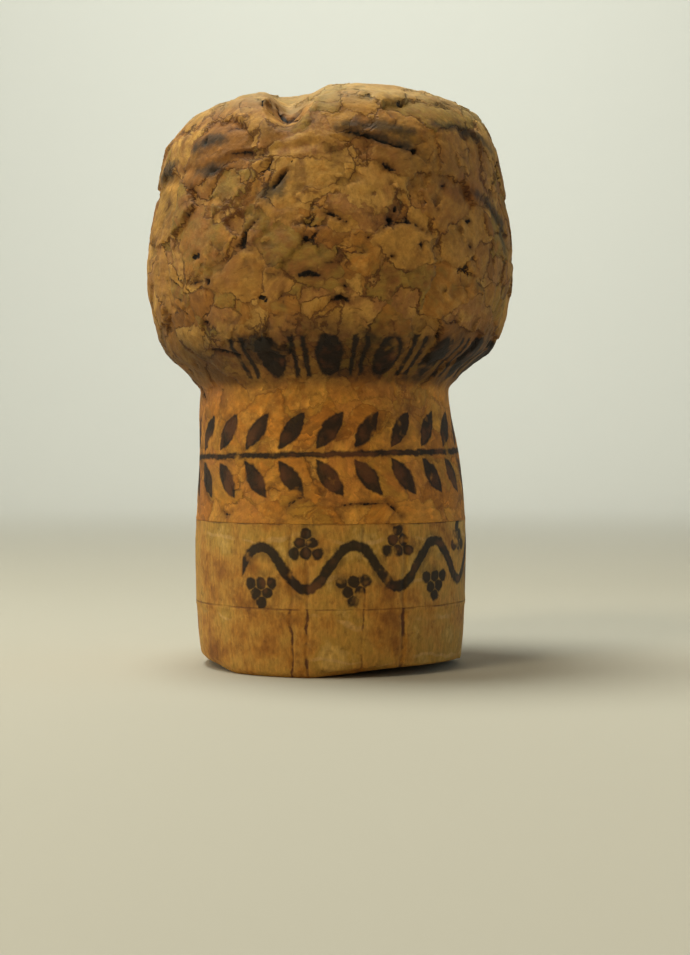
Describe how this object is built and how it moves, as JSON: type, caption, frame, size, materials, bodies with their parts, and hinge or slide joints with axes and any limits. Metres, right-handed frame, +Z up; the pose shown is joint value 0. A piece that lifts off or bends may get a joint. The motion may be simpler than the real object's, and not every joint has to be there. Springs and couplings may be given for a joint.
{
  "type": "champagne cork",
  "caption": "Drawn champagne cork: a mushroom head of pressed granules, marked by its cap and wire cage, on a waisted stem that ends in glued discs of natural cork.",
  "frame": {"origin": "middle of the flat end that faced the wine, on which the cork stands", "axes": "+Z up the cork's axis to the crown; the side that the picture shows faces -Y, with +X at its right"},
  "size_m": [0.0308, 0.0308, 0.048],
  "materials": {
    "agglomerated_cork": "matt, of pressed granules with dark gaps between them",
    "natural_cork": "matt, smooth, with dark pores"
  },
  "bodies": {
    "root": {"agglomerate_body": "agglomerated_cork", "upper_disc": "natural_cork", "lower_disc": "natural_cork"}
  },
  "joints": []
}
